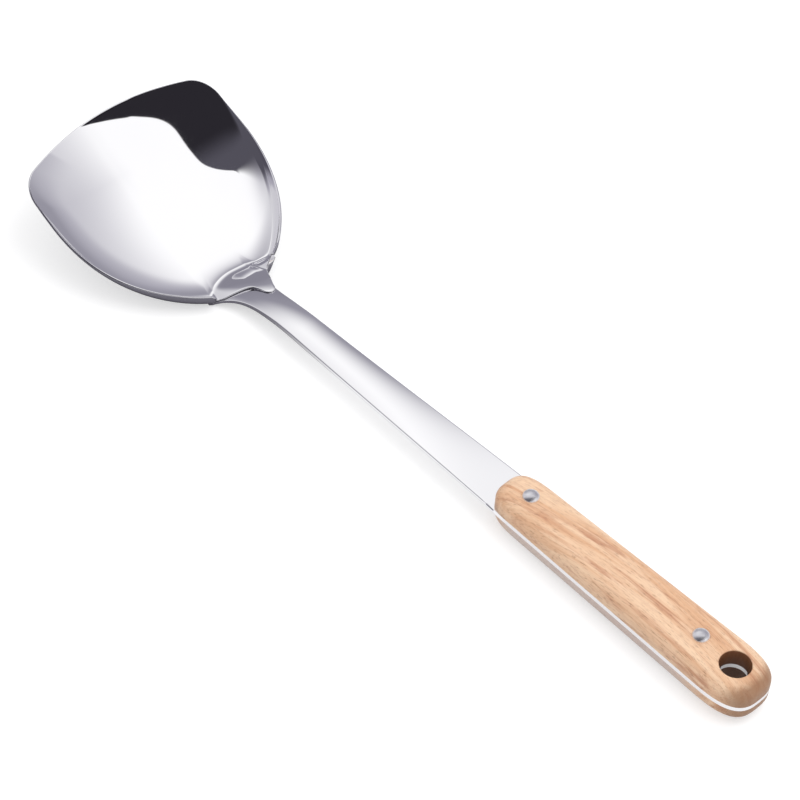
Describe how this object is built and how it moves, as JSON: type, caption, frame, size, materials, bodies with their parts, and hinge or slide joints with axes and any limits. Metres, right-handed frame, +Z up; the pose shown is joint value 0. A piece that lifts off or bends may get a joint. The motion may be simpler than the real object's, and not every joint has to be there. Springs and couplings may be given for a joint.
{
  "type": "cooking spatula",
  "caption": "Wok turner: a dished fan-shaped steel blade on a steel shank with a full tang, between two riveted wooden scales with a hanging hole.",
  "frame": {"origin": "centre of the footprint, on the surface that the tool lies on", "axes": "+X along the tool from the handle to the blade, +Y to the left of the blade, +Z up, out of the blade's hollow side"},
  "size_m": [0.374, 0.102, 0.0378],
  "materials": {
    "blade_steel": "stainless steel sheet, polished to a mirror",
    "shank_steel": "stainless steel strip, polished to a mirror",
    "rivet_steel": "stainless steel, polished",
    "handle_wood": "pale hardwood with fine pores, sanded smooth and lightly oiled"
  },
  "bodies": {
    "root": {"blade": "blade_steel", "shank": "shank_steel", "upper_scale": "handle_wood", "lower_scale": "handle_wood", "front_rivet_post": "rivet_steel", "front_rivet_cap": "rivet_steel", "rear_rivet_post": "rivet_steel", "rear_rivet_cap": "rivet_steel"}
  },
  "joints": []
}
